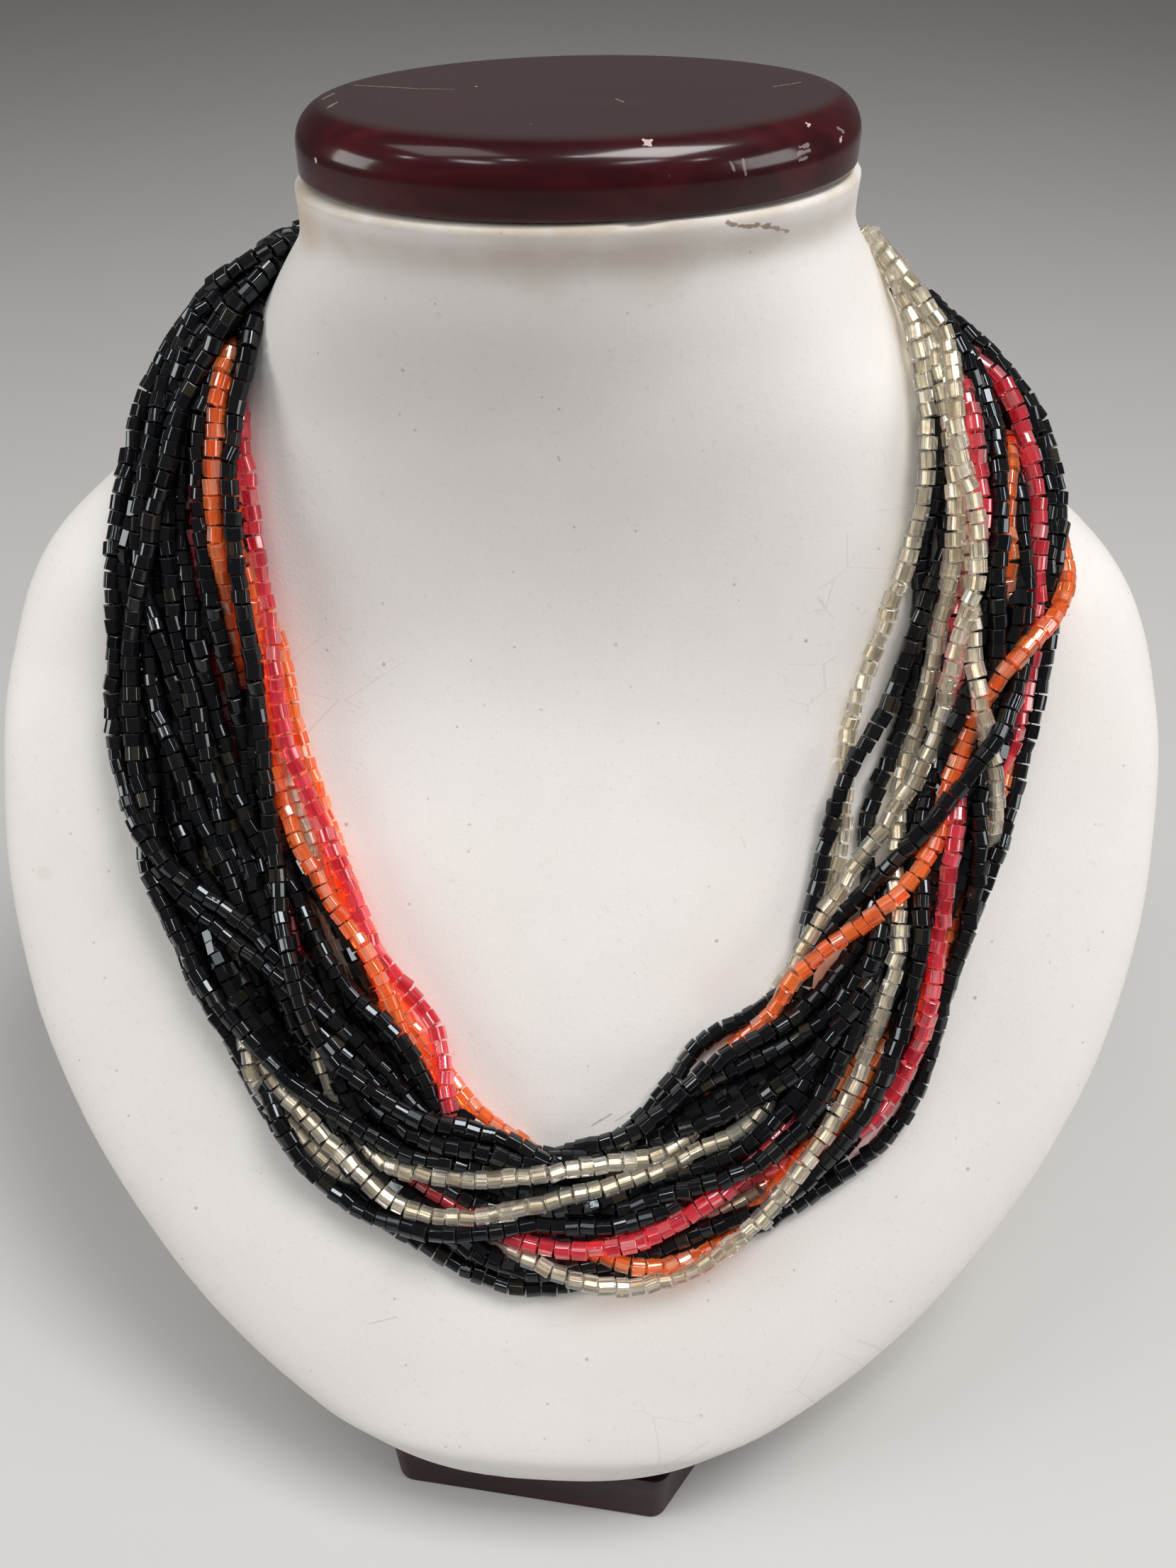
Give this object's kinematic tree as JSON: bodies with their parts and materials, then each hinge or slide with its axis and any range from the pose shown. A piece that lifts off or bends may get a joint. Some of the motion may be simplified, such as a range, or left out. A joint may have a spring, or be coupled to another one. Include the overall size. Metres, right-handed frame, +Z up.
{
  "type": "multi-strand bead necklace on a neck bust",
  "caption": "Twisted necklace of many strands of small glass tube beads, worn on a pale covered neck bust with an oval wooden cap and a wooden foot.",
  "frame": {"origin": "on the floor under the middle of the whole object's box", "axes": "+Z up, -Y out of the chest's front, +X to the right as the bust is seen from the front"},
  "size_m": [0.202, 0.1532, 0.2106],
  "materials": {
    "covering": "satin",
    "lacquered_wood": "gloss",
    "black_glass": "gloss",
    "red_glass": "gloss",
    "orange_glass": "gloss",
    "clear_glass": "gloss",
    "thread": "matte",
    "clasp_metal": "polished"
  },
  "bodies": {
    "root": {"neck_bust": "covering", "bust_cap": "lacquered_wood", "bust_foot": "lacquered_wood", "clasp": "clasp_metal", "strand_rope_1": "black_glass", "strand_rope_2": "black_glass", "strand_rope_3": "black_glass", "strand_rope_4": "black_glass", "strand_rope_5": "black_glass"}
  },
  "joints": []
}
